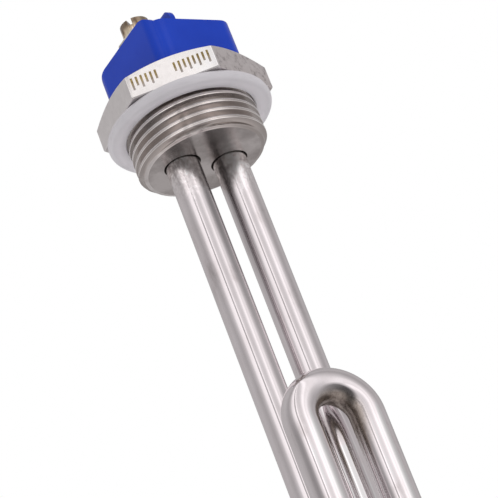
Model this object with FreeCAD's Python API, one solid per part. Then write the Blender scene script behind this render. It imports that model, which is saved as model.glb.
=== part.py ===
import FreeCAD, Part
import math
import os

# Screw plug immersion heater, in millimetres.
# The plug's axis is Z, with the terminals up and the heating element hanging down.
# Z is zero on the sealing plane, where the gasket meets the tank's boss.
# Two faces of the hexagon look along Y and two of its corners lie on X.

# Screw plug
across_flats = 38.1
hexagon_height = 7.4
crown_angle = 24.5
crown_margin = 0.1
thread_radius = 16.5
thread_length = 10.0
thread_end_narrowing = 2.1
thread_end_taper = 1.6
socket_play = 0.05
socket_mouth_chamfer = 0.35
socket_roof = 3.2

# Sealing gasket
gasket_thickness = 2.5
gasket_play = 0.1
gasket_width = 4.35

# Bent element: one tube from one socket to the other
tube_radius = 4.25
tube_wall = 0.7
leg_line_turn = 30.2
rear_leg_spacing = 12.7
rear_leg_slip = 0.56
rear_leg_offset = 0.76
front_leg_spacing = 16.9
front_leg_slip = 0.95
front_leg_offset = -10.4
fold_top_depth = 79.05
immersion_depth = 280.0

# Inside the tube
coil_radius = 1.8
coil_wire = 0.5
pin_radius = 1.25
cold_length = 45.0
filling_gap = 8.0
seal_length = 2.0
braze_height = 0.6
bushing_neck_radius = 2.7

# Terminal block
block_turn = 38.0
block_shift = 0.4
block_width = 24.3
block_length = 29.4
block_corner = 4.2
block_wall = 1.8
block_floor = 2.6
cavity_height = 8.3
low_wall_height = 11.8
tall_wall_height = 14.3
tall_wall_margin = 0.3
tall_wall_rounding = 5.5
short_barrier_start = -6.5
divider_thickness = 2.2
divider_height = 20.1
divider_start = -8.0
divider_rounding = 1.9
pocket_corner = 1.0
screw_window_play = 0.4
strap_window_play = 0.25

# Terminals
plate_thickness = 1.6
plate_front = 9.0
plate_play = 0.25
plate_corner = 1.0
strap_width = 5.0
strap_back = 9.0
strap_bend = 0.5
strap_drop = 5.2
strap_tongue = 2.2
thread_play = 0.05
washer_size = 8.4
washer_thickness = 1.0
washer_corner = 0.8
washer_play = 0.15
washer_groove = 0.35
screw_radius = 2.0
screw_length = 7.4
screw_tip_chamfer = 0.6
screw_backed_out = 3.5
head_radius = 3.7
head_side = 3.4
head_crown = 0.8
slot_width = 1.2
slot_depth = 1.9
left_slot_turn = -52.0
right_slot_turn = 70.0

# Heights along Z
hexagon_bottom = gasket_thickness
hexagon_top = hexagon_bottom + hexagon_height
socket_top = hexagon_top - socket_roof
tube_top = socket_top - braze_height
bushing_bottom = hexagon_top - filling_gap
seal_bottom = bushing_bottom - seal_length
coil_top = -cold_length
floor_top = hexagon_top + cavity_height + block_floor
low_wall_top = hexagon_top + low_wall_height
tall_wall_top = hexagon_top + tall_wall_height
divider_top = hexagon_top + divider_height
plate_top = floor_top + plate_thickness
washer_bottom = plate_top + screw_backed_out
head_bottom = washer_bottom + washer_thickness
screw_tip = head_bottom - screw_length
tongue_top = floor_top - strap_drop
tongue_bottom = tongue_top - plate_thickness

# Derived sizes
gasket_bore = thread_radius + gasket_play
gasket_radius = gasket_bore + gasket_width
bore_radius = tube_radius - tube_wall
socket_radius = tube_radius + socket_play
pocket_outer = block_width / 2 - block_wall
pocket_inner = divider_thickness / 2
pocket_middle = (pocket_outer + pocket_inner) / 2
pocket_end = block_length / 2 - block_wall
plate_width = pocket_outer - pocket_inner - 2 * plate_play

vertical = FreeCAD.Vector(0, 0, 1)


def vec(x, y, z):
    return FreeCAD.Vector(x, y, z)


def leg_point(slip, offset):
    """A point of the leg pattern: slip along the leg line, offset across it."""
    turn = math.radians(leg_line_turn)
    x = slip * math.cos(turn) - offset * math.sin(turn)
    y = slip * math.sin(turn) + offset * math.cos(turn)
    return vec(x, y, 0)


rear_left = leg_point(rear_leg_slip - rear_leg_spacing / 2, rear_leg_offset)
rear_right = leg_point(rear_leg_slip + rear_leg_spacing / 2, rear_leg_offset)
front_left = leg_point(front_leg_slip - front_leg_spacing / 2, front_leg_offset)
front_right = leg_point(front_leg_slip + front_leg_spacing / 2, front_leg_offset)


def at_height(point, z):
    return vec(point.x, point.y, z)


def cylinder(radius, z_low, z_high, centre=vec(0, 0, 0)):
    return Part.makeCylinder(radius, z_high - z_low, at_height(centre, z_low))


def box(x_low, x_high, y_low, y_high, z_low, z_high):
    corner = vec(x_low, y_low, z_low)
    return Part.makeBox(x_high - x_low, y_high - y_low, z_high - z_low, corner)


def upright_edges(shape):
    """The straight edges that run along Z."""
    found = []
    for edge in shape.Edges:
        ends = edge.Vertexes
        if len(ends) == 2 and abs(ends[0].Z - ends[1].Z) > 0.99 * edge.Length:
            found.append(edge)
    return found


def rounded_box(x_low, x_high, y_low, y_high, z_low, z_high, corner):
    plain = box(x_low, x_high, y_low, y_high, z_low, z_high)
    return plain.makeFillet(corner, upright_edges(plain))


def revolved(points):
    """A solid of revolution about Z from (radius, height) points."""
    corners = [vec(radius, 0, height) for radius, height in points]
    outline = Part.makePolygon(corners + [corners[0]])
    return Part.Face(outline).revolve(vec(0, 0, 0), vertical, 360)


def in_block_frame(shape):
    """Turns a shape drawn square to the terminal block, and shifts it to where the block stands."""
    return shape.rotated(vec(0, 0, 0), vertical, block_turn).translated(vec(block_shift, 0, 0))


def to_block_frame(point):
    """The place of a leg, seen from the terminal block's own axes."""
    turn = math.radians(block_turn)
    across = point.x - block_shift
    x = across * math.cos(turn) + point.y * math.sin(turn)
    y = point.y * math.cos(turn) - across * math.sin(turn)
    return vec(x, y, 0)


# Screw plug
def hexagon_prism():
    corner_radius = across_flats / math.sqrt(3)
    corners = []
    for index in range(7):
        angle = math.radians(60 * index)
        corners.append(vec(corner_radius * math.cos(angle), corner_radius * math.sin(angle), hexagon_bottom))
    return Part.Face(Part.makePolygon(corners)).extrude(vec(0, 0, hexagon_height))


def crown_cone():
    """Takes the hexagon's top corners off with one cone."""
    crown_radius = across_flats / 2 - crown_margin
    reach = across_flats
    drop = (reach - crown_radius) * math.tan(math.radians(crown_angle))
    low = hexagon_bottom - 1
    return revolved([(0, low), (reach, low), (reach, hexagon_top - drop),
                     (crown_radius, hexagon_top), (0, hexagon_top)])


def threaded_shank():
    """The shank at the thread's full diameter."""
    end_radius = thread_radius - thread_end_narrowing
    return revolved([(0, -thread_length), (end_radius, -thread_length),
                     (thread_radius, thread_end_taper - thread_length),
                     (thread_radius, hexagon_bottom), (0, hexagon_bottom)])


def socket(centre):
    """One leg's socket, open below, with a narrow neck through the plug's top."""
    mouth_radius = socket_radius + socket_mouth_chamfer
    mouth = Part.makeCone(mouth_radius, socket_radius, socket_mouth_chamfer,
                          at_height(centre, -thread_length))
    bore = cylinder(socket_radius, -thread_length, socket_top, centre)
    neck = cylinder(bushing_neck_radius, socket_top, hexagon_top, centre)
    return mouth.fuse([bore, neck])


def screw_plug():
    body = hexagon_prism().common(crown_cone()).fuse(threaded_shank()).removeSplitter()
    return body.cut([socket(rear_left), socket(rear_right)])


# Sealing gasket
def sealing_gasket():
    inner = gasket_bore
    edge = gasket_thickness / 2
    straight = gasket_radius - edge
    top = Part.makeLine(vec(inner, 0, gasket_thickness), vec(straight, 0, gasket_thickness))
    rim = Part.Arc(vec(straight, 0, gasket_thickness), vec(gasket_radius, 0, edge), vec(straight, 0, 0)).toShape()
    bottom = Part.makeLine(vec(straight, 0, 0), vec(inner, 0, 0))
    bore = Part.makeLine(vec(inner, 0, 0), vec(inner, 0, gasket_thickness))
    section = Part.Face(Part.Wire([top, rim, bottom, bore]))
    return section.revolve(vec(0, 0, 0), vertical, 360)


# Bent element
def bend(start, end, level, bulge):
    """A half turn between two legs, whose crest is a radius beyond level."""
    middle = (start + end) * 0.5
    radius = (end - start).Length / 2
    crest = at_height(middle, level + bulge * radius)
    return Part.Arc(at_height(start, level), crest, at_height(end, level)).toShape()


def element_path(top):
    """The element's centre line, from the left socket round to the right one."""
    lowest = tube_radius - immersion_depth
    left_bend = lowest + (front_left - rear_left).Length / 2
    right_bend = lowest + (front_right - rear_right).Length / 2
    fold = -fold_top_depth - front_leg_spacing / 2
    return Part.Wire([
        Part.makeLine(at_height(rear_left, top), at_height(rear_left, left_bend)),
        bend(rear_left, front_left, left_bend, -1),
        Part.makeLine(at_height(front_left, left_bend), at_height(front_left, fold)),
        bend(front_left, front_right, fold, 1),
        Part.makeLine(at_height(front_right, fold), at_height(front_right, right_bend)),
        bend(front_right, rear_right, right_bend, -1),
        Part.makeLine(at_height(rear_right, right_bend), at_height(rear_right, top)),
    ])


def along_element(radius, top):
    """A round solid of one radius that follows the whole element."""
    ring = Part.Wire(Part.makeCircle(radius, at_height(rear_left, top), vertical))
    return element_path(top).makePipeShell([ring], True, False)


def heating_tube():
    return along_element(tube_radius, tube_top).cut(along_element(bore_radius, tube_top))


def resistance_coil():
    """The wound wire, as a tube of the winding's outer size and the wire's thickness."""
    return along_element(coil_radius, coil_top).cut(along_element(coil_radius - coil_wire, coil_top))


def cold_pin(leg):
    return cylinder(pin_radius, coil_top, tongue_bottom, leg)


def insulating_powder():
    """Pressed powder that fills the tube round the winding and the pins."""
    filling = along_element(bore_radius, seal_bottom)
    winding = along_element(coil_radius, coil_top)
    pins = [cylinder(pin_radius, coil_top, seal_bottom, leg) for leg in (rear_left, rear_right)]
    return filling.cut([winding] + pins)


def end_seal(leg):
    disc = cylinder(bore_radius, seal_bottom, bushing_bottom, leg)
    return disc.cut(cylinder(pin_radius, seal_bottom, bushing_bottom, leg))


def end_bushing(leg):
    """A stepped insulator: its foot in the tube, its neck through the plug."""
    foot = cylinder(bore_radius, bushing_bottom, tube_top, leg)
    neck = cylinder(bushing_neck_radius, tube_top, hexagon_top, leg)
    return foot.fuse(neck).cut(cylinder(pin_radius, bushing_bottom, hexagon_top, leg))


def braze_ring(leg):
    ring = cylinder(socket_radius, tube_top, socket_top, leg)
    return ring.cut(cylinder(bushing_neck_radius, tube_top, socket_top, leg))


# Terminal block, drawn square to its own axes
def outer_prism(z_top):
    half_width = block_width / 2
    half_length = block_length / 2
    return rounded_box(-half_width, half_width, -half_length, half_length, hexagon_top, z_top, block_corner)


def end_rounding(y_end, inward, z_top, radius):
    """What a wall loses where its top turns down at one end."""
    reach = block_width
    low = z_top - radius
    y_near = min(y_end, y_end + inward * radius)
    corner = box(-reach, reach, y_near, y_near + radius, low, z_top)
    core = Part.makeCylinder(radius, 2 * reach, vec(-reach, y_end + inward * radius, low), vec(1, 0, 0))
    return corner.cut(core)


def raised_wall(side, y_start, y_end):
    """The part of one long wall that stands above the rest, with rounded ends."""
    inner = pocket_outer
    outer = block_width / 2
    x_low = min(side * inner, side * outer)
    strip = box(x_low, x_low + block_wall, y_start, y_end, low_wall_top, tall_wall_top)
    wall = outer_prism(tall_wall_top).common(strip)
    ends = [end_rounding(y_start, 1, tall_wall_top, tall_wall_rounding),
            end_rounding(y_end, -1, tall_wall_top, tall_wall_rounding)]
    return wall.cut(ends)


def divider():
    """The barrier between the terminals, round on top and set back from the wire side."""
    shoulder = divider_top - pocket_inner
    slab = box(-pocket_inner, pocket_inner, divider_start, pocket_end, low_wall_top, shoulder)
    crest = Part.makeCylinder(pocket_inner, pocket_end - divider_start, vec(0, divider_start, shoulder),
                              vec(0, 1, 0))
    strip = slab.fuse(crest).removeSplitter()
    ends = [end_rounding(divider_start, 1, divider_top, divider_rounding),
            end_rounding(pocket_end, -1, divider_top, divider_rounding)]
    return strip.cut(ends)


def terminal_pocket(side):
    x_low = min(side * pocket_inner, side * pocket_outer)
    return rounded_box(x_low, x_low + pocket_outer - pocket_inner, -pocket_end, pocket_end,
                       floor_top, divider_top, pocket_corner)


def lower_cavity():
    """The hollow under the floor, where the pins come up."""
    ceiling = floor_top - block_floor
    corner = block_corner - block_wall
    return rounded_box(-pocket_outer, pocket_outer, -pocket_end, pocket_end, hexagon_top, ceiling, corner)


def floor_windows(side, leg):
    """Holes in the floor for one terminal's screw tip and the strap that comes up."""
    ceiling = floor_top - block_floor
    screw_hole = cylinder(screw_radius + screw_window_play, ceiling, floor_top, screw_place(side))
    middle = to_block_frame(leg).x
    half = strap_width / 2 + strap_window_play
    front = strap_back - plate_thickness - strap_bend - strap_window_play
    strap_hole = box(middle - half, middle + half, front, strap_back + strap_window_play, ceiling, floor_top)
    return [screw_hole, strap_hole]


def screw_place(side):
    return vec(side * pocket_middle, 0, 0)


def terminal_block():
    walls = outer_prism(low_wall_top)
    tall_end = block_length / 2 - tall_wall_margin
    raised = [raised_wall(-1, -tall_end, tall_end), raised_wall(1, short_barrier_start, tall_end)]
    hollows = [lower_cavity(), terminal_pocket(-1), terminal_pocket(1)]
    hollows += floor_windows(-1, rear_left)
    hollows += floor_windows(1, rear_right)
    body = walls.cut(hollows).fuse(raised + [divider()]).removeSplitter()
    return in_block_frame(body)


# Terminals, drawn square to the block's axes
def strap(leg):
    """The strip that carries the current up from a pin: tongue, riser and the turn onto the floor."""
    start = to_block_frame(leg)
    inner = strap_back - plate_thickness
    tongue_end = start.y - strap_tongue
    outline = [(tongue_end, tongue_bottom), (strap_back, tongue_bottom), (strap_back, plate_top),
               (inner - plate_corner, plate_top), (inner - plate_corner, floor_top), (inner, floor_top),
               (inner, tongue_top), (tongue_end, tongue_top)]
    corners = [vec(start.x - strap_width / 2, y, z) for y, z in outline]
    strip = Part.Face(Part.makePolygon(corners + [corners[0]])).extrude(vec(strap_width, 0, 0))
    outer_bends = [(strap_back, tongue_bottom), (strap_back, plate_top)]
    inner_bends = [(inner, floor_top), (inner, tongue_top)]
    strip = strip.makeFillet(plate_thickness + strap_bend, edges_across(strip, outer_bends))
    return strip.makeFillet(strap_bend, edges_across(strip, inner_bends))


def edges_across(shape, places):
    """The edges along X that stand at the given (y, z) places."""
    found = []
    for edge in shape.Edges:
        first = edge.Vertexes[0].Point
        last = edge.Vertexes[-1].Point
        for y, z in places:
            if all(math.hypot(point.y - y, point.z - z) < 0.001 for point in (first, last)):
                found.append(edge)
    return found


def terminal_plate(side, leg):
    """Stamped brass: a plate on the floor, and its strap down to the pin."""
    middle = side * pocket_middle
    half = plate_width / 2
    back = strap_back - plate_thickness - strap_bend
    plate = rounded_box(middle - half, middle + half, -plate_front, back, floor_top, plate_top, plate_corner)
    tapped = cylinder(screw_radius + thread_play, floor_top, plate_top, screw_place(side))
    return in_block_frame(plate.fuse(strap(leg)).removeSplitter().cut(tapped))


def clamp_washer(side):
    """A square washer that grips the wire, with a groove across its underside."""
    middle = side * pocket_middle
    half = washer_size / 2
    plain = rounded_box(middle - half, middle + half, -half, half, washer_bottom, head_bottom, washer_corner)
    hole = cylinder(screw_radius + washer_play, washer_bottom, head_bottom, screw_place(side))
    groove_radius = half
    centre_height = washer_bottom + washer_groove - groove_radius
    groove = Part.makeCylinder(groove_radius, washer_size, vec(middle, -half, centre_height), vec(0, 1, 0))
    return in_block_frame(plain.cut([hole, groove]))


def screw_body():
    """The screw's turned form about Z: tip, shank, straight head and crown."""
    head_top = head_bottom + head_side
    crest = head_top + head_crown
    tip_radius = screw_radius - screw_tip_chamfer
    points = [(0, screw_tip), (tip_radius, screw_tip), (screw_radius, screw_tip + screw_tip_chamfer),
              (screw_radius, head_bottom), (head_radius, head_bottom), (head_radius, head_top)]
    corners = [vec(radius, 0, height) for radius, height in points]
    turned = Part.makePolygon(corners + [vec(0, 0, head_top), corners[0]])
    body = Part.Face(turned).revolve(vec(0, 0, 0), vertical, 360)
    sphere_radius = (head_radius ** 2 + head_crown ** 2) / (2 * head_crown)
    sphere = Part.makeSphere(sphere_radius, vec(0, 0, crest - sphere_radius))
    crown = sphere.common(cylinder(head_radius, head_top, crest))
    return body.fuse(crown).removeSplitter()


def terminal_screw(side, slot_turn):
    crest = head_bottom + head_side + head_crown
    slot = box(-slot_width / 2, slot_width / 2, -2 * head_radius, 2 * head_radius, crest - slot_depth, crest)
    slotted = screw_body().cut(slot.rotated(vec(0, 0, 0), vertical, slot_turn))
    place = screw_place(side)
    return in_block_frame(slotted.translated(place))


pieces = {
    "screw_plug": screw_plug(),
    "sealing_gasket": sealing_gasket(),
    "heating_tube": heating_tube(),
    "insulating_powder": insulating_powder(),
    "resistance_coil": resistance_coil(),
    "cold_pin_left": cold_pin(rear_left),
    "cold_pin_right": cold_pin(rear_right),
    "end_seal_left": end_seal(rear_left),
    "end_seal_right": end_seal(rear_right),
    "end_bushing_left": end_bushing(rear_left),
    "end_bushing_right": end_bushing(rear_right),
    "braze_ring_left": braze_ring(rear_left),
    "braze_ring_right": braze_ring(rear_right),
    "terminal_block": terminal_block(),
    "terminal_plate_left": terminal_plate(-1, rear_left),
    "terminal_plate_right": terminal_plate(1, rear_right),
    "clamp_washer_left": clamp_washer(-1),
    "clamp_washer_right": clamp_washer(1),
    "terminal_screw_left": terminal_screw(-1, left_slot_turn),
    "terminal_screw_right": terminal_screw(1, right_slot_turn),
}

os.makedirs("parts", exist_ok=True)
for node, shape in pieces.items():
    shape.exportStep("parts/" + node + ".step")
    print(node, "valid", shape.isValid(), "solids", len(shape.Solids), "volume", round(shape.Volume, 2))
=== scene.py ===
import bmesh
import bpy
import math
from mathutils import Matrix, Vector


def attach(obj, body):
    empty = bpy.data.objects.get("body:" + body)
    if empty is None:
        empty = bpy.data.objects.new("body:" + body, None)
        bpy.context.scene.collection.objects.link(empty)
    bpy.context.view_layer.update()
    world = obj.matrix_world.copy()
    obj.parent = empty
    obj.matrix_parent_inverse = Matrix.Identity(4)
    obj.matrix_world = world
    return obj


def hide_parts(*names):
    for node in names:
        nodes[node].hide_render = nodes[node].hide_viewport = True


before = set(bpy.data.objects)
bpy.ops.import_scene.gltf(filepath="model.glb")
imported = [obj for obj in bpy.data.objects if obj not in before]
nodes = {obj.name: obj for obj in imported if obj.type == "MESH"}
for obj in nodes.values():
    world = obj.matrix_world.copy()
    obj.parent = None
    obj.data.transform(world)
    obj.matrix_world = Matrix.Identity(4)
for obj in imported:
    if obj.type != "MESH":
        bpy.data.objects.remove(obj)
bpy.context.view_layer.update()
scene = bpy.context.scene
MM = 0.001

# Sizes in millimetres, as in the part's source
across_flats = 38.1
hexagon_bottom = 2.5
hexagon_top = 9.9
crown_angle = math.radians(24.5)
crown_radius = 18.95
thread_radius = 16.5
thread_length = 10.0
socket_radius = 4.3
socket_mouth = 4.65
socket_chamfer = 0.35
socket_top = 6.7
neck_radius = 2.7
gasket_bore = 16.6
gasket_radius = 20.95
gasket_thickness = 2.5
tube_radius = 4.25
bore_radius = 3.55
tube_top = 6.1
leg_line_turn = math.radians(30.2)
rear_leg_spacing = 12.7
rear_leg_slip = 0.56
rear_leg_offset = 0.76
front_leg_spacing = 16.9
front_leg_slip = 0.95
front_leg_offset = -10.4
fold_top_depth = 79.05
immersion_depth = 280.0
block_turn = math.radians(38.0)
block_shift = 0.4
pocket_middle = 5.725
divider_half = 1.1
divider_start = -8.0
divider_end = 12.9
divider_top = 30.0
head_bottom = 26.9
head_radius = 3.7
slot_width = 1.2
slot_depth = 1.9
screw_tip = 19.5
screw_radius = 2.0

# Only in the scene: sizes in millimetres, the crest's two factors and the slots' turns in degrees
corner_rounding = 0.45
thread_pitch = 2.4
thread_depth = 1.26
thread_crest = 0.80
crest_height_in_front = -6.1
rim_radius = 14.45
end_face_radius = 14.36
gasket_edge = 0.12
divider_side_top = 26.0
divider_reach = 0.1
crest_top = 30.5
crest_stretch = 1.684
crest_narrowing = 0.64
block_edge = 0.12
head_walls = {"left": 4.0, "right": 3.4}
head_crowns = {"left": 0.2, "right": 0.8}
head_edge = 0.14
slot_turns = {"left": -52.0, "right": 70.0}
screw_pitch = 0.7
screw_depth = 0.38
screw_crest = 0.14
screw_tip_radius = 1.4


def leg_point(slip, offset):
    """A leg's place, from its distances along and across the line of legs."""
    x = slip * math.cos(leg_line_turn) - offset * math.sin(leg_line_turn)
    y = slip * math.sin(leg_line_turn) + offset * math.cos(leg_line_turn)
    return (x, y)


rear_left = leg_point(rear_leg_slip - rear_leg_spacing / 2, rear_leg_offset)
rear_right = leg_point(rear_leg_slip + rear_leg_spacing / 2, rear_leg_offset)
front_left = leg_point(front_leg_slip - front_leg_spacing / 2, front_leg_offset)
front_right = leg_point(front_leg_slip + front_leg_spacing / 2, front_leg_offset)


# Camera, fitted to the photograph's outlines
def make_camera():
    tilt = 0.453939576661233
    yaw = 0.01980735926877031
    roll = -0.3732816877845528
    shift = (-14.684412417012819, -31.47504561434585, 600.0)
    fitted_centre = Vector((0, 0, 2.5))
    focal_pixels = 2467.6767989745963
    picture_pixels = 498
    sensor_width = 36.0
    across = Vector((math.cos(yaw), -math.sin(yaw), 0))
    level = Vector((math.sin(yaw), math.cos(yaw), 0))
    up = Vector((0, 0, 1))
    forward = level * math.cos(tilt) + up * math.sin(tilt)
    upright = up * math.cos(tilt) - level * math.sin(tilt)
    right = across * math.cos(roll) + upright * math.sin(roll)
    down = across * math.sin(roll) - upright * math.cos(roll)
    place = fitted_centre - right * shift[0] - down * shift[1] - forward * shift[2]
    data = bpy.data.cameras.new("photo_camera")
    data.sensor_width = sensor_width
    data.lens = focal_pixels / picture_pixels * sensor_width
    data.clip_start = 0.01
    data.clip_end = 20.0
    camera = bpy.data.objects.new("photo_camera", data)
    scene.collection.objects.link(camera)
    turn = Matrix((right, -down, -forward)).transposed().to_4x4()
    camera.matrix_world = Matrix.Translation(place * MM) @ turn
    scene.camera = camera


make_camera()


# Shader helpers
def new_material(name, color, metallic=0.0, roughness=0.5):
    material = bpy.data.materials.new(name)
    material.use_nodes = True
    shader = material.node_tree.nodes["Principled BSDF"]
    shader.inputs["Base Color"].default_value = (*color, 1)
    shader.inputs["Metallic"].default_value = metallic
    shader.inputs["Roughness"].default_value = roughness
    return material, material.node_tree, shader


def add(tree, kind, **settings):
    node = tree.nodes.new(kind)
    for key, value in settings.items():
        setattr(node, key, value)
    return node


def link(tree, source, target):
    tree.links.new(source, target)


def object_coordinates(tree, scale=(1, 1, 1)):
    coordinates = add(tree, "ShaderNodeTexCoord")
    mapping = add(tree, "ShaderNodeMapping")
    mapping.inputs["Scale"].default_value = scale
    link(tree, coordinates.outputs["Object"], mapping.inputs["Vector"])
    return mapping.outputs["Vector"]


def separated(tree, vector):
    """The X, Y and Z of a vector."""
    node = add(tree, "ShaderNodeSeparateXYZ")
    link(tree, vector, node.inputs[0])
    return node.outputs["X"], node.outputs["Y"], node.outputs["Z"]


def noise(tree, vector, scale, detail=4.0, roughness=0.55):
    texture = add(tree, "ShaderNodeTexNoise")
    texture.inputs["Scale"].default_value = scale
    texture.inputs["Detail"].default_value = detail
    texture.inputs["Roughness"].default_value = roughness
    link(tree, vector, texture.inputs["Vector"])
    return texture.outputs["Fac"]


def ramp(tree, value, stops):
    node = add(tree, "ShaderNodeValToRGB")
    elements = node.color_ramp.elements
    while len(elements) > 1:
        elements.remove(elements[-1])
    elements[0].position = stops[0][0]
    elements[0].color = (*stops[0][1], 1)
    for position, color in stops[1:]:
        element = elements.new(position)
        element.color = (*color, 1)
    link(tree, value, node.inputs["Fac"])
    return node.outputs["Color"]


def grey_ramp(tree, value, levels):
    return ramp(tree, value, [(position, (level, level, level)) for position, level in levels])


def spread(tree, value, low, high, from_low=0.3, from_high=0.7):
    """Low at from_low and before it, high at from_high and after it, and a straight line between."""
    node = add(tree, "ShaderNodeMapRange")
    node.inputs["From Min"].default_value = from_low
    node.inputs["From Max"].default_value = from_high
    node.inputs["To Min"].default_value = low
    node.inputs["To Max"].default_value = high
    link(tree, value, node.inputs["Value"])
    return node.outputs["Result"]


def set_or_link(tree, socket, value):
    if isinstance(value, (int, float)):
        socket.default_value = value
    elif isinstance(value, tuple):
        socket.default_value = (*value, 1)
    else:
        link(tree, value, socket)


def math_node(tree, operation, first, second=None):
    node = add(tree, "ShaderNodeMath", operation=operation)
    set_or_link(tree, node.inputs[0], first)
    if second is not None:
        set_or_link(tree, node.inputs[1], second)
    return node.outputs[0]


def times(tree, first, second):
    return math_node(tree, "MULTIPLY", first, second)


def plus(tree, first, second):
    return math_node(tree, "ADD", first, second)


def length_of(tree, x, y):
    return math_node(tree, "SQRT", plus(tree, times(tree, x, x), times(tree, y, y)))


def mix_color(tree, share, first, second, blend="MIX"):
    node = add(tree, "ShaderNodeMix", data_type="RGBA", blend_type=blend)
    set_or_link(tree, node.inputs[0], share)
    set_or_link(tree, node.inputs[6], first)
    set_or_link(tree, node.inputs[7], second)
    return node.outputs[2]


def tinted(tree, color, by, share=1.0):
    """The color, multiplied by another one where share is 1."""
    return mix_color(tree, share, color, by, "MULTIPLY")


def mix_value(tree, share, first, second):
    node = add(tree, "ShaderNodeMix")
    set_or_link(tree, node.inputs[0], share)
    set_or_link(tree, node.inputs[2], first)
    set_or_link(tree, node.inputs[3], second)
    return node.outputs[0]


def bump(tree, shader, height, strength, distance):
    node = add(tree, "ShaderNodeBump")
    node.inputs["Strength"].default_value = strength
    node.inputs["Distance"].default_value = distance
    link(tree, height, node.inputs["Height"])
    link(tree, node.outputs["Normal"], shader.inputs["Normal"])


def surface_normal(tree):
    coordinates = add(tree, "ShaderNodeTexCoord")
    return separated(tree, coordinates.outputs["Normal"])


def direction_share(tree, x, y):
    """A direction round Z as a share: 0.5 to the front, rising to the right, 0 and 1 to the back."""
    angle = math_node(tree, "ARCTAN2", x, times(tree, y, -1.0))
    return plus(tree, times(tree, angle, 1 / (2 * math.pi)), 0.5)


def around_ramp(tree, share, levels):
    """Grey levels by direction, in degrees from the front."""
    return grey_ramp(tree, share, [((angle + 180) / 360, level) for angle, level in levels])


# Materials
def stamped_strokes(tree, across, height):
    """Two groups of plain upright strokes across the front face, as a mask."""
    half_step = 0.6 * MM
    half_width = 0.27 * MM
    stroke_low = 4.4 * MM
    stroke_high = 7.8 * MM
    shortening = 0.9 * MM
    group_limits = ((-10.2, -3.0), (0.6, 10.2))
    bars = math_node(tree, "LESS_THAN", math_node(tree, "PINGPONG", across, half_step), half_width)
    groups = None
    for low, high in group_limits:
        above = math_node(tree, "GREATER_THAN", across, low * MM)
        below = math_node(tree, "LESS_THAN", across, high * MM)
        group = times(tree, above, below)
        groups = group if groups is None else math_node(tree, "MAXIMUM", groups, group)
    every_other = math_node(tree, "PINGPONG", across, 2 * half_step)
    shorter = times(tree, math_node(tree, "GREATER_THAN", every_other, half_step), shortening)
    low_end = math_node(tree, "GREATER_THAN", math_node(tree, "SUBTRACT", height, shorter), stroke_low)
    high_end = math_node(tree, "LESS_THAN", height, stroke_high)
    return times(tree, times(tree, bars, groups), times(tree, low_end, high_end))


def plated_hexagon():
    """Matte plated faces: the front one ground bright and painted brighter towards its right, with stamped
    strokes, the right one rough.
    """
    front_limit = -19.0 * MM
    right_limit = 11.3 * MM
    material, tree, shader = new_material("plated_hexagon", (0.75, 0.715, 0.70), 1.0, 0.42)
    place = object_coordinates(tree)
    x, y, z = separated(tree, place)
    patches = noise(tree, place, 520, 6.0, 0.65)
    grain = noise(tree, place, 2600, 3.0, 0.6)
    pits = noise(tree, place, 620, 4.0, 0.6)
    front = math_node(tree, "LESS_THAN", y, front_limit)
    right_side = math_node(tree, "GREATER_THAN", x, right_limit)
    smooth = ramp(tree, patches, [(0.3, (0.74, 0.715, 0.71)), (0.7, (0.84, 0.815, 0.81))])
    rough_cast = ramp(tree, pits, [(0.34, (0.44, 0.405, 0.40)), (0.46, (0.70, 0.655, 0.65)),
                                   (0.7, (0.80, 0.755, 0.75))])
    cast = mix_color(tree, right_side, smooth, rough_cast)
    ground = ramp(tree, patches, [(0.3, (0.84, 0.82, 0.80)), (0.7, (0.90, 0.885, 0.87))])
    # Painted reflection: the front face is made brighter towards its right
    ground = tinted(tree, ground, spread(tree, x, 0.96, 1.20, -8 * MM, 9 * MM))
    strokes = stamped_strokes(tree, x, z)
    brown_tone = ramp(tree, grain, [(0.3, (0.14, 0.10, 0.04)), (0.55, (0.33, 0.245, 0.10)),
                                 (0.75, (0.66, 0.54, 0.30))])
    greyed = ramp(tree, grain, [(0.3, (0.26, 0.23, 0.21)), (0.7, (0.50, 0.46, 0.43))])
    stroke_color = mix_color(tree, spread(tree, z, 0.0, 1.0, 4.8 * MM, 6.6 * MM), greyed, brown_tone)
    face = mix_color(tree, strokes, ground, stroke_color)
    link(tree, mix_color(tree, front, cast, face), shader.inputs["Base Color"])
    matte = spread(tree, patches, 0.28, 0.40)
    bright = spread(tree, grain, 0.15, 0.21)
    link(tree, mix_value(tree, front, matte, bright), shader.inputs["Roughness"])
    pitting = times(tree, pits, plus(tree, times(tree, right_side, 0.9), 0.1))
    height = math_node(tree, "SUBTRACT", plus(tree, patches, pitting), strokes)
    bump(tree, shader, height, 0.35, 0.00004)
    return material


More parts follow.
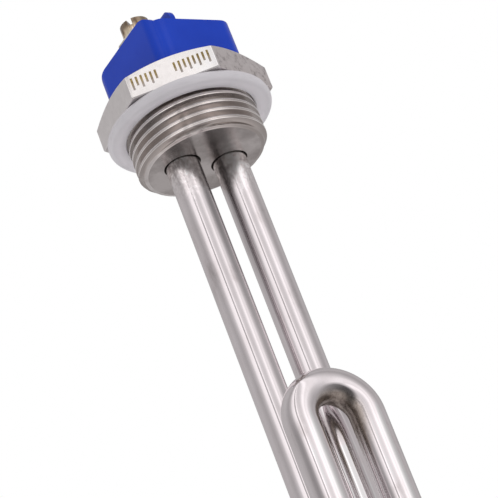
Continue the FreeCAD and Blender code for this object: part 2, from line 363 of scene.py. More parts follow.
def turned_steel(name, bright, down_shade, roughness, rings_scale, stain=1.0, lip_highlight_share=0.0):
    """Turned metal: fine rings round the axis, painted highlights on the crests and the end lip, and painted
    shade in the roots, where it faces down and under the gasket.
    """
    material, tree, shader = new_material(name, bright, 1.0, roughness)
    place = object_coordinates(tree)
    x, y, z = separated(tree, place)
    radius = length_of(tree, x, y)
    patches = noise(tree, place, 210, 4.0, 0.55)
    clouds = noise(tree, place, 75, 6.0, 0.62)
    rings = add(tree, "ShaderNodeCombineXYZ")
    link(tree, radius, rings.inputs[0])
    link(tree, z, rings.inputs[1])
    lines = noise(tree, rings.outputs[0], rings_scale, 2.0, 0.7)
    shade = tuple(part * 0.80 for part in bright)
    facing_up_color = ramp(tree, patches, [(0.3, shade), (0.65, bright)])
    # Painted highlight on the thread's crests and painted shade in its roots, by radius
    painted_crests_and_roots = ramp(tree, spread(tree, radius, 0.0, 1.0, 15.2 * MM, thread_radius * MM),
                [(0.0, (0.68, 0.67, 0.66)), (0.88, (0.86, 0.86, 0.86)), (0.95, (1.60, 1.60, 1.59)),
                 (0.9945, (1.60, 1.60, 1.59)), (0.9975, (0.86, 0.85, 0.84))])
    facing_up_color = tinted(tree, facing_up_color, painted_crests_and_roots)
    # Painted shade: surfaces that face down take the darker colour, with a painted shadow under the gasket
    down = spread(tree, surface_normal(tree)[2], 1.0, 0.0, -0.8, -0.25)
    gasket_shadow = spread(tree, z, 1.0, 0.66, -4.0 * MM, -2.8 * MM)
    face = mix_color(tree, down, facing_up_color, tinted(tree, down_shade, gasket_shadow))
    # Painted highlight on part of the chamfered lip at the shank's end
    lip_highlight = spread(tree, z, lip_highlight_share, 0.0, -9.82 * MM, -9.70 * MM)
    lip_highlight = times(tree, lip_highlight, spread(tree, x, 1.0, 0.0, 2 * MM, 13 * MM))
    lip_highlight = times(tree, lip_highlight, spread(tree, patches, 0.5, 1.0, 0.35, 0.6))
    face = mix_color(tree, lip_highlight, face, (0.96, 0.93, 0.92))
    stained = ramp(tree, clouds, [(0.40, (stain, stain * 0.975, stain * 0.965)), (0.60, (1, 1, 1))])
    link(tree, tinted(tree, face, stained), shader.inputs["Base Color"])
    link(tree, spread(tree, patches, roughness - 0.04, roughness + 0.06), shader.inputs["Roughness"])
    bump(tree, shader, lines, 0.22, 0.00002)
    return material


def socket_gap_shade():
    """The mouth of each socket, near black: painted shade in the narrow gap round the tube."""
    material, tree, shader = new_material("socket_gap_shade", (0.05, 0.045, 0.04), 0.6, 0.5)
    grain = noise(tree, object_coordinates(tree), 1800, 3.0, 0.6)
    color = ramp(tree, grain, [(0.3, (0.025, 0.02, 0.018)), (0.7, (0.08, 0.065, 0.055))])
    link(tree, color, shader.inputs["Base Color"])
    bump(tree, shader, grain, 0.2, 0.00003)
    return material


def fold_places(tree, place):
    """Three shares: inside the fold's bend, on the front legs' side, and below the bend."""
    place_x, place_y, place_z = place
    cosine = math.cos(leg_line_turn)
    sine = math.sin(leg_line_turn)
    x = plus(tree, place_x, -(front_left[0] + front_right[0]) / 2 * MM)
    y = plus(tree, place_y, -(front_left[1] + front_right[1]) / 2 * MM)
    along = plus(tree, times(tree, x, cosine), times(tree, y, sine))
    across = plus(tree, times(tree, y, cosine), times(tree, x, -sine))
    level = plus(tree, place_z, (fold_top_depth + front_leg_spacing / 2) * MM)
    distance = length_of(tree, along, math_node(tree, "MAXIMUM", level, 0.0))
    clear = front_leg_spacing / 2 - tube_radius
    in_front = spread(tree, across, 1.0, 0.0, 4.4 * MM, 5.0 * MM)
    inside = spread(tree, distance, 1.0, 0.0, (clear + 0.5) * MM, (clear + 2.6) * MM)
    inside = times(tree, inside, spread(tree, in_front, 0.3, 1.0))
    inside = times(tree, inside, spread(tree, level, 0.0, 1.0, -12 * MM, 0.5 * MM))
    below = spread(tree, level, 1.0, 0.0, -4 * MM, 6 * MM)
    return inside, in_front, below


def polished_tube():
    """Polished stainless tube: lengthwise streaks, a mottled stain near the plug, painted highlights and
    shade in lengthwise bands, painted shade inside the fold's bend.
    """
    material, tree, shader = new_material("polished_tube", (0.80, 0.765, 0.77), 1.0, 0.1)
    lengthwise = add(tree, "ShaderNodeUVMap", uv_map="along")
    mapping = add(tree, "ShaderNodeMapping")
    mapping.inputs["Scale"].default_value = (5200, 90, 1)
    link(tree, lengthwise.outputs[0], mapping.inputs["Vector"])
    streaks = noise(tree, mapping.outputs[0], 1.0, 4.0, 0.65)
    stains = noise(tree, object_coordinates(tree, (1, 1, 0.35)), 260, 5.0, 0.6)
    speckle = noise(tree, object_coordinates(tree, (1, 1, 0.6)), 1300, 5.0, 0.75)
    color = ramp(tree, stains, [(0.26, (0.60, 0.56, 0.56)), (0.42, (0.78, 0.74, 0.75)),
                                (0.7, (0.84, 0.805, 0.82))])

    # Dull and speckled near the plug, with a ragged edge
    place = separated(tree, object_coordinates(tree))
    ragged = plus(tree, times(tree, stains, 9.0 * MM), times(tree, speckle, 7.0 * MM))
    edge = plus(tree, place[2], ragged)
    near_plug = spread(tree, edge, 0.0, 1.0, -13.0 * MM, -3.0 * MM)
    mottled = ramp(tree, speckle, [(0.38, (0.40, 0.37, 0.365)), (0.5, (0.70, 0.66, 0.65)),
                                   (0.60, (0.98, 0.95, 0.945))])
    color = mix_color(tree, near_plug, color, mottled)

    # Painted highlights and shade: lengthwise bands, by the direction that the surface faces
    inside_bend, in_front, below = fold_places(tree, place)
    normal = surface_normal(tree)
    share = direction_share(tree, normal[0], normal[1])
    right_leg = math_node(tree, "GREATER_THAN", place[0], 0.0)
    # Painted sheen near the plug, brighter where the surface faces the front and right
    sheen = around_ramp(tree, share, [(-30, 1.0), (-12, 1.35), (5, 1.7), (32, 1.7), (50, 1.2), (70, 1.0)])
    color = tinted(tree, color, sheen, near_plug)
    # Painted highlights and shade in bands on the front legs below the bend
    painted_front_bands = around_ramp(tree, share, [(-60, 1.0), (-40, 0.95), (-27, 0.62), (-19, 0.62), (-9, 1.08),
                                       (3, 1.30), (18, 1.12), (33, 1.45), (41, 1.55), (50, 1.15),
                                       (65, 1.0)])
    color = tinted(tree, color, painted_front_bands, times(tree, in_front, below))
    shaded_left = around_ramp(tree, share, [(-90, 0.8), (-60, 1.0), (14, 1.0), (26, 0.78), (42, 0.52),
                                            (75, 0.62)])
    shaded_right = around_ramp(tree, share, [(-66, 0.92), (-52, 0.62), (-26, 0.60), (-14, 0.92),
                                             (-6, 1.08), (60, 1.0)])
    upper = spread(tree, edge, 0.0, 0.95, -52.0 * MM, -16.0 * MM)
    color = tinted(tree, color, mix_color(tree, right_leg, shaded_left, shaded_right), upper)
    behind_fold = times(tree, times(tree, math_node(tree, "SUBTRACT", 1.0, in_front), below), right_leg)
    glinting = around_ramp(tree, share, [(-70, 1.0), (-40, 1.25), (-10, 1.5), (25, 1.5), (60, 1.1)])
    color = tinted(tree, color, glinting, behind_fold)

    # Painted shade inside the fold's bend
    bend_shade = spread(tree, plus(tree, inside_bend, times(tree, stains, 0.5)), 0.0, 1.0, 0.35, 0.95)
    brown_tone = ramp(tree, speckle, [(0.36, (0.25, 0.215, 0.19)), (0.55, (0.43, 0.38, 0.345))])
    link(tree, mix_color(tree, bend_shade, color, brown_tone), shader.inputs["Base Color"])
    blur = spread(tree, edge, 0.0, 0.17, -18.0 * MM, -8.0 * MM)
    blur = plus(tree, blur, times(tree, bend_shade, 0.22))
    both = plus(tree, times(tree, streaks, 0.7), times(tree, stains, 0.3))
    link(tree, plus(tree, spread(tree, both, 0.045, 0.11), blur), shader.inputs["Roughness"])
    bump(tree, shader, streaks, 0.10, 0.00002)
    return material


def pale_rubber():
    """Pale grey rubber that lets a little light in, with painted light by the bore and painted shade towards
    its rim.
    """
    material, tree, shader = new_material("pale_rubber", (0.50, 0.495, 0.55), 0.0, 0.5)
    place = object_coordinates(tree)
    x, y, _ = separated(tree, place)
    clouds = noise(tree, place, 120, 3.0, 0.5)
    grain = noise(tree, place, 5200, 2.0, 0.5)
    outward = spread(tree, length_of(tree, x, y), 0.0, 1.0, gasket_bore * MM, gasket_radius * MM)
    # Painted light and shade: lighter by the bore, where the thread shades it, darker towards the rim
    bore_light_rim_shade = grey_ramp(tree, outward, [(0.0, 1.0), (0.45, 0.84), (0.80, 0.64), (1.0, 0.58)])
    tint = ramp(tree, clouds, [(0.3, (0.86, 0.82, 0.865)), (0.7, (0.92, 0.88, 0.925))])
    link(tree, tinted(tree, tint, bore_light_rim_shade), shader.inputs["Base Color"])
    shader.inputs["Subsurface Weight"].default_value = 0.4
    shader.inputs["Subsurface Radius"].default_value = (1.0, 1.0, 1.0)
    shader.inputs["Subsurface Scale"].default_value = 0.0015
    link(tree, spread(tree, clouds, 0.42, 0.55), shader.inputs["Roughness"])
    bump(tree, shader, grain, 0.12, 0.00002)
    return material


def blue_plastic():
    """Moulded thermoset: satin, a little uneven, with a fine pebble."""
    material, tree, shader = new_material("blue_plastic", (0.010, 0.045, 0.42), 0.0, 0.38)
    place = object_coordinates(tree)
    clouds = noise(tree, place, 90, 4.0, 0.55)
    pebble = noise(tree, place, 3800, 2.0, 0.5)
    color = ramp(tree, clouds, [(0.3, (0.004, 0.036, 0.385)), (0.7, (0.006, 0.044, 0.44))])
    link(tree, color, shader.inputs["Base Color"])
    link(tree, spread(tree, clouds, 0.13, 0.19), shader.inputs["Roughness"])
    shader.inputs["Specular IOR Level"].default_value = 0.24
    bump(tree, shader, pebble, 0.10, 0.00002)
    return material


def brass(name, bright, dark, roughness):
    """Turned or stamped metal with stains and scratches, darker brown towards the screw heads' crowns."""
    material, tree, shader = new_material(name, bright, 1.0, roughness)
    stains = noise(tree, object_coordinates(tree, (1, 1, 0.3)), 420, 4.0, 0.6)
    scratches = noise(tree, object_coordinates(tree, (1, 0.12, 1)), 3200, 3.0, 0.6)
    rubbed = tuple(min(part * 1.3, 1.0) for part in bright)
    color = ramp(tree, stains, [(0.38, dark), (0.50, bright), (0.60, rubbed)])
    height = separated(tree, object_coordinates(tree))[2]
    crown = plus(tree, height, times(tree, stains, 3.0 * MM))
    crown = spread(tree, crown, 0.0, 0.8, (head_bottom + 3.3) * MM, (head_bottom + 4.3) * MM)
    link(tree, mix_color(tree, crown, color, (0.22, 0.165, 0.12)), shader.inputs["Base Color"])
    link(tree, spread(tree, scratches, roughness - 0.05, roughness + 0.06), shader.inputs["Roughness"])
    bump(tree, shader, scratches, 0.06, 0.00002)
    return material


def plain(name, color, metallic, roughness, scale):
    """For pieces that are sealed inside: even colour with a little grain."""
    material, tree, shader = new_material(name, color, metallic, roughness)
    grain = noise(tree, object_coordinates(tree), scale, 3.0, 0.6)
    dark = tuple(part * 0.85 for part in color)
    link(tree, ramp(tree, grain, [(0.3, dark), (0.7, color)]), shader.inputs["Base Color"])
    bump(tree, shader, grain, 0.15, 0.00003)
    return material


hexagon_material = plated_hexagon()
turned_material = turned_steel("turned_thread", (0.80, 0.765, 0.75), (0.52, 0.485, 0.465), 0.15, 9000,
                               lip_highlight_share=0.85)
end_material = turned_steel("turned_end", (0.76, 0.72, 0.70), (0.74, 0.70, 0.685), 0.2, 5000, 0.62)
gap_shade_material = socket_gap_shade()
tube_material = polished_tube()
rubber_material = pale_rubber()
blue_material = blue_plastic()
screw_material = brass("screw_brass", (0.82, 0.67, 0.49), (0.20, 0.135, 0.075), 0.12)
plate_material = brass("plate_brass", (0.80, 0.66, 0.38), (0.58, 0.45, 0.22), 0.32)
washer_material = brass("washer_steel", (0.72, 0.70, 0.64), (0.56, 0.53, 0.46), 0.34)


# Mesh helpers
def loose_object(name, mesh_data):
    mesh = bpy.data.meshes.new(name)
    mesh_data.to_mesh(mesh)
    mesh_data.free()
    piece = bpy.data.objects.new(name, mesh)
    scene.collection.objects.link(piece)
    return piece


def finish_mesh(name, mesh_data, materials, body, replaced):
    piece = loose_object(name, mesh_data)
    for material in materials:
        piece.data.materials.append(material)
    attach(piece, body)
    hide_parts(*replaced)
    return piece


def smooth_face(mesh_data, corners, material=0):
    """A face through the corners, less those that repeat. Makes none from fewer than three."""
    distinct = []
    for vertex in corners:
        if vertex not in distinct:
            distinct.append(vertex)
    if len(distinct) < 3:
        return None
    face = mesh_data.faces.new(distinct)
    face.smooth = True
    face.material_index = material
    return face


def ring(mesh_data, radius, height, count, centre=(0, 0)):
    points = []
    for index in range(count):
        angle = 2 * math.pi * index / count
        x = centre[0] + radius * math.cos(angle)
        y = centre[1] + radius * math.sin(angle)
        points.append(mesh_data.verts.new((x * MM, y * MM, height * MM)))
    return points


def bridge(mesh_data, low, high, material=0):
    for index in range(len(low)):
        after = (index + 1) % len(low)
        smooth_face(mesh_data, (low[index], low[after], high[after], high[index]), material)


def fill_flat(mesh_data, loops, material=0):
    """A flat face bounded by the first loop, with the others as holes."""
    edges = []
    for loop in loops:
        for index, vertex in enumerate(loop):
            after = loop[(index + 1) % len(loop)]
            edge = mesh_data.edges.get((vertex, after))
            edges.append(edge if edge else mesh_data.edges.new((vertex, after)))
    filled = bmesh.ops.triangle_fill(mesh_data, use_beauty=True, use_dissolve=False, edges=edges)
    for item in filled["geom"]:
        if isinstance(item, bmesh.types.BMFace):
            item.smooth = False
            item.material_index = material


def mark_sharp(mesh_data, angle):
    """Turns the faces outwards, and shows the edges that turn by more than angle degrees as sharp."""
    bmesh.ops.recalc_face_normals(mesh_data, faces=mesh_data.faces)
    for item in mesh_data.edges:
        if item.calc_face_angle(0) > math.radians(angle):
            item.smooth = False


def round_edges(piece, width, angle):
    """Rounds a piece's edges that turn by more than angle degrees."""
    edge = piece.modifiers.new("edge", "BEVEL")
    edge.width = width * MM
    edge.segments = 3
    edge.limit_method = "ANGLE"
    edge.angle_limit = math.radians(angle)
    return edge


def round_and_shade(piece, width, angle):
    """Rounds a piece's edges, and keeps its flat faces evenly shaded up to them."""
    round_edges(piece, width, angle).harden_normals = True
    normals = piece.modifiers.new("normals", "WEIGHTED_NORMAL")
    normals.keep_sharp = True


# One edge of a thread's crest: (height in 0.06 pitches, radius change in 0.06 pitches)
crest_edge = [(-0.15, -1.3), (0.0, -0.8), (0.15, -0.38), (0.45, -0.16), (1.1, -0.05), (1.25, 0)]


def thread_profile(pitch, depth, crest, steps):
    """(height, radius change) pairs over one pitch, from root to root: a flat crest and a round root."""
    half_crest = crest / 2
    edge = pitch * 0.06
    groove = pitch / 2 - half_crest
    points = []
    for step in range(steps):
        share = step / steps
        points.append((-pitch / 2 + groove * share, -depth * math.cos(share * math.pi / 2) ** 0.85))
    points += [(edge * height - half_crest, edge * change) for height, change in crest_edge]
    points.append((0, 0))
    mirrored = [(-height, change) for height, change in reversed(points[1:-1])]
    return points + mirrored


def threaded_wall(mesh_data, major, profile, pitch, crest_height, low, high, limit, columns,
                  centre=(0, 0), material=0):
    """A right-hand threaded wall between two heights. Returns its lowest and highest rings."""
    first = math.floor((low - crest_height) / pitch) - 2
    last = math.ceil((high - crest_height) / pitch) + 2
    rows = [(turn * pitch + offset + crest_height, change)
            for turn in range(first, last) for offset, change in profile]
    bottom = []
    top = []
    grid = []
    for column in range(columns):
        share = column / columns
        angle = math.radians(90) + 2 * math.pi * share
        rise = pitch * (share - 0.5)
        cosine = math.cos(angle)
        sine = math.sin(angle)

        def vertex(radius, height):
            x = centre[0] + radius * cosine
            y = centre[1] + radius * sine
            return mesh_data.verts.new((x * MM, y * MM, height * MM))

        around = math.degrees(angle) % 360
        bottom.append(vertex(limit(major, 0, low, around), low))
        top.append(vertex(limit(major, 0, high, around), high))
        line = []
        for height, change in rows:
            z = height + rise
            if z <= low:
                line.append(bottom[-1])
            elif z >= high:
                line.append(top[-1])
            else:
                line.append(vertex(limit(major, change, z, around), z))
        grid.append(line)
    per_pitch = len(profile)
    grid.append(grid[0][per_pitch:] + [top[0]] * per_pitch)
    for here, after in zip(grid, grid[1:]):
        for row in range(len(rows) - 1):
            smooth_face(mesh_data, (here[row], after[row], after[row + 1], here[row + 1]), material)
    return bottom, top


# Screw plug. Its hexagon's edges are rounded by rings of points: (inset, rise) from the underside,
# and (inset, drop) from the crown's cone
underside_edge = [(0.25, 0), (0.07, 0.07), (0, 0.25)]
crown_edge = [(0, 0.12), (0.04, 0.02), (0.16, 0)]
crown_inset = 0.08


def hexagon_outline(inset):
    """Points round the hexagon, with rounded corners, moved in by inset."""
    corner_steps = 7
    flat_steps = 16
    flat = across_flats / 2 - inset
    rounding = max(corner_rounding - inset, 0.05)
    centre_distance = (flat - rounding) / math.cos(math.radians(30))
    corners = []
    for index in range(6):
        direction = math.radians(60 * index)
        centre = (centre_distance * math.cos(direction), centre_distance * math.sin(direction))
        arc = []
        for step in range(corner_steps):
            angle = direction + math.radians(-30 + 10 * step)
            arc.append((centre[0] + rounding * math.cos(angle), centre[1] + rounding * math.sin(angle)))
        corners.append(arc)
    points = []
    for index in range(6):
        points += corners[index]
        start = corners[index][-1]
        end = corners[(index + 1) % 6][0]
        for step in range(1, flat_steps):
            share = step / flat_steps
            points.append((start[0] + (end[0] - start[0]) * share, start[1] + (end[1] - start[1]) * share))
    return points


def crown_height(x, y):
    return hexagon_top - (math.hypot(x, y) - crown_radius) * math.tan(crown_angle)


def hexagon_ring(mesh_data, inset, height):
    outline = hexagon_outline(inset)
    return [mesh_data.verts.new((x * MM, y * MM, height(x, y) * MM)) for x, y in outline]


def moved_to(mesh_data, points, radius, height):
    """A ring of new vertices in the same directions as the points, at one radius and height."""
    moved = []
    for vertex in points:
        angle = math.atan2(vertex.co.y, vertex.co.x)
        place = (radius * math.cos(angle) * MM, radius * math.sin(angle) * MM, height * MM)
        moved.append(mesh_data.verts.new(place))
    return moved


def between(points, value):
    """A value read off a broken line of (place, value) points."""
    if value <= points[0][0]:
        return points[0][1]
    for (low, first), (high, second) in zip(points, points[1:]):
        if value <= high:
            return first + (second - first) * (value - low) / (high - low)
    return points[-1][1]


def clamped(value):
    return min(max(value, 0), 1)


# The shank's last turn: a collar and a rim, and the thread's groove as it runs out across them.
# The groove's (degrees, height) and (degrees, strength) go round the shank; 270 is the front.
collar_top = -8.75
collar_radius = 15.6
collar_step = 0.23
rim_top = -9.78
rim_top_radius = 15.25
last_turn_low_edge = -8.92
groove_path = [(205, -10.05), (220, -9.92), (233, -9.75), (248, -9.45), (262, -9.28), (275, -9.22),
               (300, -9.32), (330, -9.3), (360, -9.15)]
groove_strength = [(207, 0), (222, 0.5), (250, 1), (330, 1), (355, 0)]
groove_depth = 0.32
groove_half_width = 0.15


def shank_limit(major, change, z, around):
    """The thread fades out under the gasket and runs out at the shank's end."""
    fade_top = 0.6
    fade_length = 0.9
    fade = clamped((fade_top - z) / fade_length)
    fade = fade * fade * (3 - 2 * fade)
    radius = major + change * fade
    turned = (around if around > 90 else around + 360) - 270
    step = min(last_turn_low_edge + turned / 360 * thread_pitch, collar_top)
    step += (collar_top - step) * clamped((-70 - turned) / 20)
    if z < step:
        collar_low = max(step - collar_step, rim_top + 0.01)
        end_shape = [(-thread_length, rim_radius), (rim_top, rim_top_radius), (collar_low, collar_radius),
                     (step, major)]
        radius = min(radius, between(end_shape, z))
        offset = (z - between(groove_path, around)) / groove_half_width
        radius -= groove_depth * between(groove_strength, around) * math.exp(-offset * offset)
    return radius


def make_plug():
    shank_columns = 240
    socket_sides = 64
    shank_end = -thread_length
    wall_low = shank_end + 0.15
    rim_low = shank_end + 0.05
    mesh_data = bmesh.new()
    profile = thread_profile(thread_pitch, thread_depth, thread_crest, steps=15)
    bottom, top = threaded_wall(mesh_data, thread_radius, profile, thread_pitch, crest_height_in_front,
                                wall_low, hexagon_bottom, shank_limit, shank_columns, material=1)
    rim = moved_to(mesh_data, bottom, rim_radius, rim_low)
    bridge(mesh_data, rim, bottom, 1)
    end_face = moved_to(mesh_data, bottom, end_face_radius, shank_end)
    bridge(mesh_data, end_face, rim, 1)
    mouths = []
    necks = []
    for leg in (rear_left, rear_right):
        steps = [(socket_mouth, shank_end), (socket_radius, shank_end + socket_chamfer),
                 (socket_radius, socket_top), (neck_radius, socket_top), (neck_radius, hexagon_top)]
        rings = [ring(mesh_data, radius, height, socket_sides, leg) for radius, height in steps]
        for first, second in zip(rings, rings[1:]):
            bridge(mesh_data, first, second, 3)
        mouths.append(rings[0])
        necks.append(rings[-1])
    fill_flat(mesh_data, [end_face] + mouths, 2)
    wall = []
    for inset, rise in underside_edge:
        wall.append(hexagon_ring(mesh_data, inset, lambda x, y: hexagon_bottom + rise))
    for inset, drop in crown_edge:
        wall.append(hexagon_ring(mesh_data, inset, lambda x, y: crown_height(x, y) - drop))
    wall.append(moved_to(mesh_data, wall[-1], crown_radius - crown_inset, hexagon_top))
    for first, second in zip(wall, wall[1:]):
        bridge(mesh_data, first, second, 0)
    fill_flat(mesh_data, [wall[0], top], 0)
    fill_flat(mesh_data, [wall[-1]] + necks, 0)
    mark_sharp(mesh_data, angle=48)
    materials = [hexagon_material, turned_material, end_material, gap_shade_material]
    return finish_mesh("plug_body", mesh_data, materials, "heater", ["screw_plug"])


plug = make_plug()


# Sealing gasket
def make_gasket():
    sides = 144
    rim_steps = 13
    mesh_data = bmesh.new()
    half = gasket_thickness / 2
    section = [(gasket_bore + gasket_edge, 0), (gasket_bore, gasket_edge),
               (gasket_bore, gasket_thickness - gasket_edge), (gasket_bore + gasket_edge, gasket_thickness)]
    for step in range(rim_steps):
        angle = math.radians(90 - 15 * step)
        section.append((gasket_radius - half + half * math.cos(angle), half + half * math.sin(angle)))
    rings = [ring(mesh_data, radius, height, sides) for radius, height in section]
    for first, second in zip(rings, rings[1:] + rings[:1]):
        bridge(mesh_data, first, second)
    bmesh.ops.recalc_face_normals(mesh_data, faces=mesh_data.faces)
    return finish_mesh("gasket_ring", mesh_data, [rubber_material], "heater", ["sealing_gasket"])


gasket = make_gasket()


# Bent heating tube
def element_stations(top):
    """Points and directions along the tube's centre line."""
    bend_steps = 40
    straight_step = 6
    lowest = tube_radius - immersion_depth
    legs = [Vector((x, y, 0)) for x, y in (rear_left, front_left, front_right, rear_right)]
    left_bend = lowest + (legs[1] - legs[0]).length / 2
    right_bend = lowest + (legs[2] - legs[3]).length / 2
    fold = -fold_top_depth - front_leg_spacing / 2
    up = Vector((0, 0, 1))
    stations = []

    def run(leg, start, end):
        direction = up if end > start else -up
        pieces = max(int(abs(end - start) / straight_step), 1)
        for step in range(pieces):
            stations.append((leg + up * (start + (end - start) * step / pieces), direction))

    def half_turn(first, second, level, bulge):
        middle = (first + second) / 2
        arm = (first - second) / 2
        radius = arm.length
        for step in range(bend_steps):
            angle = math.pi * step / bend_steps
            place = middle + arm * math.cos(angle) + up * (level + bulge * radius * math.sin(angle))
            direction = -arm.normalized() * math.sin(angle) + up * bulge * math.cos(angle)
            stations.append((place, direction.normalized()))

    run(legs[0], top, left_bend)
    half_turn(legs[0], legs[1], left_bend, -1)
    run(legs[1], left_bend, fold)
    half_turn(legs[1], legs[2], fold, 1)
    run(legs[2], fold, right_bend)
    half_turn(legs[2], legs[3], right_bend, -1)
    run(legs[3], right_bend, top)
    stations.append((legs[3] + up * top, up))
    return stations


def make_tube():
    sides = 72
    girth = 2 * math.pi * tube_radius * MM
    mesh_data = bmesh.new()
    layer = mesh_data.loops.layers.uv.new("along")
    frames = []
    normal = Vector((0, -1, 0))
    length = 0.0
    last_place = None
    for place, direction in element_stations(tube_top):
        normal = (normal - direction * normal.dot(direction)).normalized()
        if last_place is not None:
            length += (place - last_place).length
        last_place = place
        frames.append((place, direction, normal.copy(), length))

    def skin(radius):
        rings = []
        for place, direction, side, _ in frames:
            other = direction.cross(side)
            points = []
            for step in range(sides):
                angle = 2 * math.pi * step / sides
                spot = place + side * (radius * math.cos(angle)) + other * (radius * math.sin(angle))
                points.append(mesh_data.verts.new(spot * MM))
            rings.append(points)
        for index in range(len(rings) - 1):
            here = frames[index][3] * MM
            ahead = frames[index + 1][3] * MM
            for step in range(sides):
                after = (step + 1) % sides
                face = smooth_face(mesh_data, (rings[index][step], rings[index][after],
                                               rings[index + 1][after], rings[index + 1][step]))
                low = step / sides * girth
                high = (step + 1) / sides * girth
                for loop, spot in zip(face.loops, ((low, here), (high, here), (high, ahead), (low, ahead))):
                    loop[layer].uv = spot
        return rings

    outer = skin(tube_radius)
    inner = skin(bore_radius)
    for end in (0, -1):
        bridge(mesh_data, outer[end], inner[end])
    mark_sharp(mesh_data, angle=60)
    return finish_mesh("bent_tube", mesh_data, [tube_material], "heater", ["heating_tube"])


tube = make_tube()


# Terminal screws: turned head with a sawn slot, and a threaded shank
screw_sides = 56


def applied(piece):
    """Replaces a piece's mesh by what its modifiers make of it."""
    graph = bpy.context.evaluated_depsgraph_get()
    mesh = bpy.data.meshes.new_from_object(piece.evaluated_get(graph), depsgraph=graph)
    piece.modifiers.clear()
    piece.data = mesh


def screw_head(place, turn, head_wall, head_crown):
    mesh_data = bmesh.new()
    wall_top = head_bottom + head_wall
    sphere = (head_radius ** 2 + head_crown ** 2) / (2 * head_crown)
    section = [(head_radius, head_bottom), (head_radius, wall_top)]
    for share in (0.93, 0.8, 0.6, 0.4, 0.2):
        radius = head_radius * share
        section.append((radius, wall_top + head_crown - sphere + math.sqrt(sphere ** 2 - radius ** 2)))
    rings = [ring(mesh_data, radius, height, screw_sides, place) for radius, height in section]
    for first, second in zip(rings, rings[1:]):
        bridge(mesh_data, first, second)
    mesh_data.faces.new(rings[-1])
    mesh_data.faces.new(list(reversed(rings[0])))
    bmesh.ops.recalc_face_normals(mesh_data, faces=mesh_data.faces)
    head = loose_object("head", mesh_data)
    cutter_data = bmesh.new()
    bmesh.ops.create_cube(cutter_data, size=1)
    slot_floor = wall_top + head_crown - slot_depth
    scale = Matrix.Diagonal((slot_width * MM, 4 * head_radius * MM, 2 * slot_depth * MM, 1))
    centre = Vector((place[0], place[1], slot_floor + slot_depth)) * MM
    spin = Matrix.Rotation(math.radians(turn), 4, "Z")
    bmesh.ops.transform(cutter_data, matrix=Matrix.Translation(centre) @ spin @ scale,
                        verts=cutter_data.verts)
    cutter = loose_object("cutter", cutter_data)
    cut = head.modifiers.new("slot", "BOOLEAN")
    cut.object = cutter
    cut.solver = "EXACT"
    round_edges(head, head_edge, angle=38)
    applied(head)
    bpy.data.objects.remove(cutter)
    return head


def make_screw(side):
    direction = -1 if side == "left" else 1
    place = (block_shift + direction * pocket_middle * math.cos(block_turn),
             direction * pocket_middle * math.sin(block_turn))
    head = screw_head(place, slot_turns[side] + math.degrees(block_turn), head_walls[side], head_crowns[side])
    mesh_data = bmesh.new()
    mesh_data.from_mesh(head.data)
    bpy.data.objects.remove(head)
    for face in mesh_data.faces:
        face.smooth = True

    def tip_limit(major, change, z, around):
        """The thread fades out under the head and is cut to a cone at the tip."""
        fade_top = head_bottom - 0.5
        fade_length = 0.4
        fade = clamped((fade_top - z) / fade_length)
        return min(major + change * fade, screw_tip_radius + max(z - screw_tip, 0))

    crest_height = screw_tip + 1.0
    shank_top = head_bottom + 0.2
    profile = thread_profile(screw_pitch, screw_depth, screw_crest, steps=4)
    bottom, top = threaded_wall(mesh_data, screw_radius, profile, screw_pitch, crest_height, screw_tip,
                                shank_top, tip_limit, screw_sides, place)
    mesh_data.faces.new(bottom)
    mesh_data.faces.new(list(reversed(top)))
    mark_sharp(mesh_data, angle=40)
    screw = finish_mesh("clamp_screw_" + side, mesh_data, [screw_material], "screw_" + side,
                        ["terminal_screw_" + side])


# Terminal block
def make_block():
    """The moulded block, with the divider drawn in towards its crest and rounder at its ends."""
    mesh_data = bmesh.new()
    mesh_data.from_mesh(nodes["terminal_block"].data)
    bmesh.ops.remove_doubles(mesh_data, verts=mesh_data.verts, dist=0.00001)
    cosine = math.cos(block_turn)
    sine = math.sin(block_turn)
    for vertex in mesh_data.verts:
        x = vertex.co.x / MM - block_shift
        y = vertex.co.y / MM
        z = vertex.co.z / MM
        across = x * cosine + y * sine
        along = y * cosine - x * sine
        if abs(across) > divider_half + 0.01 or z < divider_side_top:
            continue
        across *= crest_narrowing
        end = divider_start - divider_reach if along < 0 else divider_end + divider_reach
        start = divider_start if along < 0 else divider_end
        along = end + (along - start) * crest_stretch
        z = crest_top - (divider_top - z) * crest_stretch
        place = (block_shift + across * cosine - along * sine, across * sine + along * cosine, z)
        vertex.co = Vector(place) * MM
    bmesh.ops.dissolve_limit(mesh_data, angle_limit=math.radians(0.5), verts=mesh_data.verts,
                             edges=mesh_data.edges)
    for face in mesh_data.faces:
        face.smooth = True
    for item in mesh_data.edges:
        if item.calc_face_angle(0) > math.radians(35):
            item.smooth = False
    block = finish_mesh("block_body", mesh_data, [blue_material], "heater", ["terminal_block"])
    round_and_shade(block, block_edge, angle=40)


# Parts that keep their solid's shape
def dress(name, material, edge_width=0.0, angle=30):
    """Gives a solid its material and, where edge_width isn't 0, rounds its edges."""
    piece = nodes[name]
    piece.data.materials.clear()
    piece.data.materials.append(material)
    for polygon in piece.data.polygons:
        polygon.material_index = 0
    if not edge_width:
        return
    weld = piece.modifiers.new("weld", "WELD")
    weld.merge_threshold = 0.00001
    flat = piece.modifiers.new("flat", "DECIMATE")
    flat.decimate_type = "DISSOLVE"
    flat.angle_limit = math.radians(0.5)
    round_and_shade(piece, edge_width, angle)


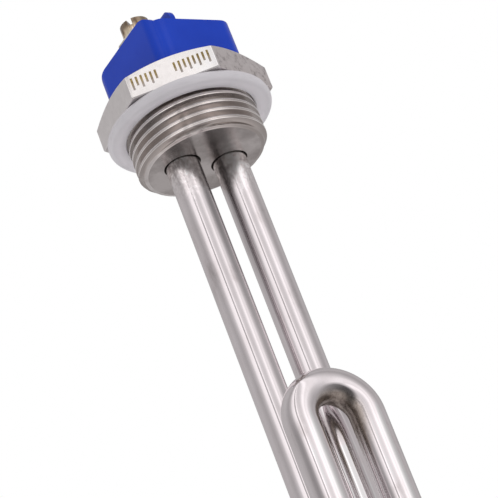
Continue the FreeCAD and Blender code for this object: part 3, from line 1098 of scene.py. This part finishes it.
make_screw("left")
make_screw("right")
make_block()
for side in ("left", "right"):
    dress("terminal_plate_" + side, plate_material, edge_width=0.12, angle=35)
    dress("clamp_washer_" + side, washer_material, edge_width=0.1, angle=35)
    dress("cold_pin_" + side, plain("pin_steel_" + side, (0.60, 0.59, 0.58), 1.0, 0.3, 1800))
    dress("end_seal_" + side, plain("seal_rubber_" + side, (0.45, 0.12, 0.08), 0.0, 0.5, 1500))
    dress("end_bushing_" + side, plain("bushing_ceramic_" + side, (0.86, 0.84, 0.79), 0.0, 0.6, 2400))
    dress("braze_ring_" + side, plain("braze_" + side, (0.76, 0.62, 0.38), 1.0, 0.35, 1200))
dress("insulating_powder", plain("powder", (0.86, 0.85, 0.80), 0.0, 0.9, 2600))
dress("resistance_coil", plain("coil_wire", (0.45, 0.44, 0.43), 1.0, 0.4, 1500))


# Floor, world and lamp, in metres
def make_floor():
    """A small pale disc under the heater that fades out towards its rim."""
    floor_radius = 0.08
    fade_start = 0.025
    fade_end = 0.078
    floor_height = -(immersion_depth + 0.3) * MM
    mesh_data = bmesh.new()
    bmesh.ops.create_circle(mesh_data, cap_ends=True, segments=96, radius=floor_radius)
    floor = loose_object("floor", mesh_data)
    floor.location = (0, 0, floor_height)
    floor.visible_glossy = False
    material, tree, shader = new_material("floor", (0.62, 0.62, 0.62), 0.0, 0.8)
    place = object_coordinates(tree)
    tint = noise(tree, place, 3.0, 2.0, 0.5)
    link(tree, grey_ramp(tree, tint, [(0.3, 0.84), (0.7, 0.87)]), shader.inputs["Base Color"])
    x, y, _ = separated(tree, place)
    link(tree, spread(tree, length_of(tree, x, y), 1.0, 0.0, fade_start, fade_end), shader.inputs["Alpha"])
    floor.data.materials.append(material)


def make_world():
    """A studio that is white to the camera, and that metal sees as light and dark bands all round."""
    world = bpy.data.worlds.new("studio")
    scene.world = world
    world.use_nodes = True
    tree = world.node_tree
    tree.nodes.clear()
    output = add(tree, "ShaderNodeOutputWorld")
    coordinates = add(tree, "ShaderNodeTexCoord")
    x, y, height = separated(tree, coordinates.outputs["Generated"])
    share = direction_share(tree, x, y)
    around = around_ramp(tree, share, [
        (-180, 0.42), (-150, 0.47), (-100, 0.49), (-68, 0.41), (-58, 0.46), (-47, 0.57), (-40, 0.70),
        (-34, 0.96), (-23, 1.06), (-15, 1.14), (-13.5, 0.42), (-7.5, 0.42), (-6, 1.10), (-1, 1.08),
        (2, 0.76), (10, 0.70), (18, 0.68), (24, 0.74), (30, 0.86), (35, 1.10), (42, 1.16), (47, 0.90),
        (53, 0.96), (59, 0.92), (66, 0.68), (74, 0.55), (84, 0.44), (95, 0.40), (125, 0.49),
        (145, 0.42), (180, 0.42)])
    low_around = around_ramp(tree, share, [
        (-180, 0.38), (-155, 0.42), (-125, 0.62), (-90, 0.40), (-55, 0.20), (-30, 0.09), (30, 0.09),
        (55, 0.20), (90, 0.40), (125, 0.62), (155, 0.42), (180, 0.38)])
    studio = mix_color(tree, spread(tree, height, 0.0, 1.0, -0.34, -0.06), low_around, around)
    underneath = spread(tree, height, 1.0, 0.0, -0.90, -0.70)
    studio = mix_color(tree, underneath, studio, (0.62, 0.61, 0.60))
    studio = tinted(tree, studio, (1.085, 1.045, 1.052))
    from_below = plus(tree, times(tree, height, 0.5), 0.5)
    soft_levels = grey_ramp(tree, from_below, [(0.0, 0.95), (0.5, 0.90), (1.0, 0.90)])

    def background(color):
        node = add(tree, "ShaderNodeBackground")
        set_or_link(tree, node.inputs["Color"], color)
        return node.outputs[0]

    def mix_shader(share, first, second):
        node = add(tree, "ShaderNodeMixShader")
        link(tree, share, node.inputs[0])
        link(tree, first, node.inputs[1])
        link(tree, second, node.inputs[2])
        return node.outputs[0]

    path = add(tree, "ShaderNodeLightPath")
    lit = mix_shader(path.outputs["Is Glossy Ray"], background(soft_levels), background(studio))
    seen = mix_shader(path.outputs["Is Camera Ray"], lit, background((1.0, 1.0, 1.0)))
    link(tree, seen, output.inputs["Surface"])


def make_lamp(name, place, target, size, power):
    data = bpy.data.lights.new(name, "AREA")
    data.shape = "RECTANGLE"
    data.size = size[0]
    data.size_y = size[1]
    data.energy = power
    lamp = bpy.data.objects.new(name, data)
    scene.collection.objects.link(lamp)
    lamp.location = place
    lamp.rotation_mode = "QUATERNION"
    lamp.rotation_quaternion = (Vector(target) - Vector(place)).to_track_quat("-Z", "Y")
    lamp.visible_glossy = False


make_floor()
make_world()
make_lamp("key", place=(0.55, -0.70, 0.25), target=(0, 0, -0.03), size=(0.5, 0.5), power=1.6)
scene.view_settings.view_transform = "Standard"
